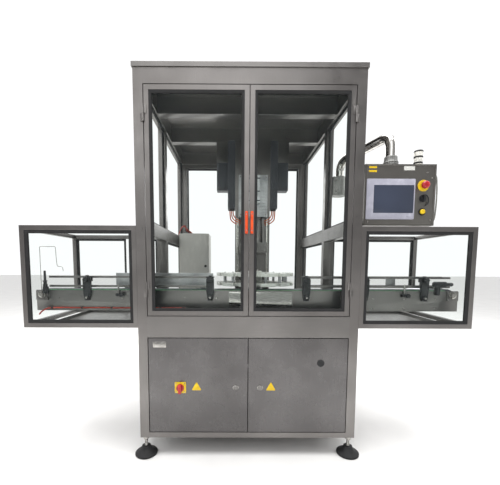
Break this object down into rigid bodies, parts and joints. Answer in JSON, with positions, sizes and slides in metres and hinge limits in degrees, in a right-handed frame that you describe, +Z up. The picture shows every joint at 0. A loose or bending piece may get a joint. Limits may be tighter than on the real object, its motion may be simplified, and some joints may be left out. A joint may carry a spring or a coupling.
{
  "type": "capping machine",
  "caption": "Bottle capping machine with glazed doors, starwheel, lifting capping head, conveyor with side guards and swinging control box.",
  "frame": {"origin": "on the floor under the middle of the machine", "axes": "+X to the right along the conveyor, -Y is the front with the glazed doors, +Z up"},
  "size_m": [2.44, 1.354, 2.1],
  "materials": {
    "steel": "satin",
    "clear_pane": "clear",
    "black_plastic": "matte",
    "white_plastic": "satin",
    "orange_plastic": "gloss",
    "red_plastic": "gloss",
    "yellow_plastic": "gloss",
    "aluminium": "satin",
    "grey_paint": "satin",
    "pale_paint": "satin",
    "cable_grey": "matte"
  },
  "bodies": {
    "frame": {"frame_front": "steel", "frame_rear": "steel", "frame_side_left": "steel", "frame_side_right": "steel", "roof": "steel", "table": "steel", "cabinet_shell": "steel", "foot_front_left": "black_plastic", "foot_front_right": "black_plastic", "foot_rear_left": "black_plastic", "foot_rear_right": "black_plastic", "guard_left_front": "steel", "guard_left_window": "clear_pane", "guard_left_cage": "steel", "guard_right_front": "steel", "guard_right_window": "clear_pane", "guard_right_cage": "steel", "conveyor_body": "steel", "chain": "grey_paint", "conveyor_gearmotor": "aluminium", "rail_front_left": "steel", "rail_front_right": "steel", "rail_rear_right": "steel", "rail_rear_left": "aluminium", "rail_bracket_1": "black_plastic", "rail_bracket_2": "black_plastic", "rail_bracket_3": "black_plastic", "rail_bracket_4": "black_plastic", "rail_bracket_5": "black_plastic", "starwheel_drive": "aluminium", "column": "steel", "lift_drive": "aluminium", "junction_box_left": "grey_paint", "junction_box_right": "grey_paint", "cap_feeder": "pale_paint", "arm_pivot": "aluminium"},
    "door_left": {"door_left_frame": "steel", "door_left_glass": "clear_pane", "door_left_handle": "orange_plastic"},
    "door_right": {"door_right_frame": "steel", "door_right_glass": "clear_pane", "door_right_handle": "orange_plastic"},
    "cabinet_left": {"cabinet_door_left": "steel"},
    "cabinet_right": {"cabinet_door_right": "steel"},
    "latch_left": {"cabinet_latch_left": "steel"},
    "latch_right": {"cabinet_latch_right": "steel"},
    "isolator": {"isolator_knob": "red_plastic"},
    "arm": {"pendant_arm": "steel"},
    "control": {"control_box": "steel", "touch_panel": "aluminium", "beacon": "white_plastic", "control_cable": "cable_grey"},
    "stop": {"emergency_stop": "red_plastic"},
    "selector": {"selector": "black_plastic"},
    "push": {"push_button": "yellow_plastic"},
    "starwheel": {"starwheel": "white_plastic"},
    "head": {"head_carriage": "steel"},
    "chuck": {"chuck": "aluminium"},
    "drive": {"drive_shaft": "steel"},
    "idler": {"idler_shaft": "steel"}
  },
  "joints": [
    {"name": "door_left_hinge", "type": "hinge", "parent": "frame", "child": "door_left", "pos_m": [-0.548, -0.646, 1.395], "axis": [0, 0, -1], "range_deg": [0, 110]},
    {"name": "door_right_hinge", "type": "hinge", "parent": "frame", "child": "door_right", "pos_m": [0.548, -0.646, 1.395], "axis": [0, 0, 1], "range_deg": [0, 110]},
    {"name": "cabinet_left_hinge", "type": "hinge", "parent": "frame", "child": "cabinet_left", "pos_m": [-0.546, -0.64, 0.408], "axis": [0, 0, -1], "range_deg": [0, 110]},
    {"name": "cabinet_right_hinge", "type": "hinge", "parent": "frame", "child": "cabinet_right", "pos_m": [0.546, -0.64, 0.408], "axis": [0, 0, 1], "range_deg": [0, 110]},
    {"name": "latch_left_turn", "type": "hinge", "parent": "cabinet_left", "child": "latch_left", "pos_m": [-0.068, -0.64, 0.398], "axis": [0, -1, 0], "range_deg": [0, 90]},
    {"name": "latch_right_turn", "type": "hinge", "parent": "cabinet_right", "child": "latch_right", "pos_m": [0.068, -0.64, 0.398], "axis": [0, -1, 0], "range_deg": [0, 90]},
    {"name": "isolator_turn", "type": "hinge", "parent": "cabinet_left", "child": "isolator", "pos_m": [-0.373, -0.64, 0.398], "axis": [0, -1, 0], "range_deg": [0, 90]},
    {"name": "arm_swing", "type": "hinge", "parent": "frame", "child": "arm", "pos_m": [0.656, -0.1, 1.683], "axis": [0, 0, 1], "range_deg": [0, 90]},
    {"name": "box_swivel", "type": "hinge", "parent": "arm", "child": "control", "pos_m": [0.785, -0.54, 1.612], "axis": [0, 0, 1], "range_deg": [-20, 20]},
    {"name": "stop_press", "type": "slide", "parent": "control", "child": "stop", "axis": [0, 1, 0], "range_m": [0, 0.006], "stiffness_N_per_m": 600, "springref_m": -0.002},
    {"name": "push_press", "type": "slide", "parent": "control", "child": "push", "axis": [0, 1, 0], "range_m": [0, 0.003], "stiffness_N_per_m": 400, "springref_m": -0.002},
    {"name": "selector_turn", "type": "hinge", "parent": "control", "child": "selector", "pos_m": [0.93, -0.61, 1.433], "axis": [0, -1, 0], "range_deg": [0, 90]},
    {"name": "starwheel_spin", "type": "hinge", "parent": "frame", "child": "starwheel", "pos_m": [0.06, -0.24, 1], "axis": [0, 0, 1], "continuous": true},
    {"name": "head_lift", "type": "slide", "parent": "frame", "child": "head", "axis": [0, 0, -1], "range_m": [0, 0.04]},
    {"name": "chuck_spin", "type": "hinge", "parent": "head", "child": "chuck", "pos_m": [0.06, -0.01, 1.2], "axis": [0, 0, 1], "continuous": true},
    {"name": "drive_spin", "type": "hinge", "parent": "frame", "child": "drive", "pos_m": [1.175, -0.47, 0.905], "axis": [0, 1, 0], "continuous": true},
    {"name": "idler_spin", "type": "hinge", "parent": "frame", "child": "idler", "pos_m": [-1.175, -0.47, 0.905], "axis": [0, 1, 0], "continuous": true}
  ],
  "couplings": [
    {"joint": "idler_spin", "follows": "drive_spin", "ratio": 1}
  ]
}
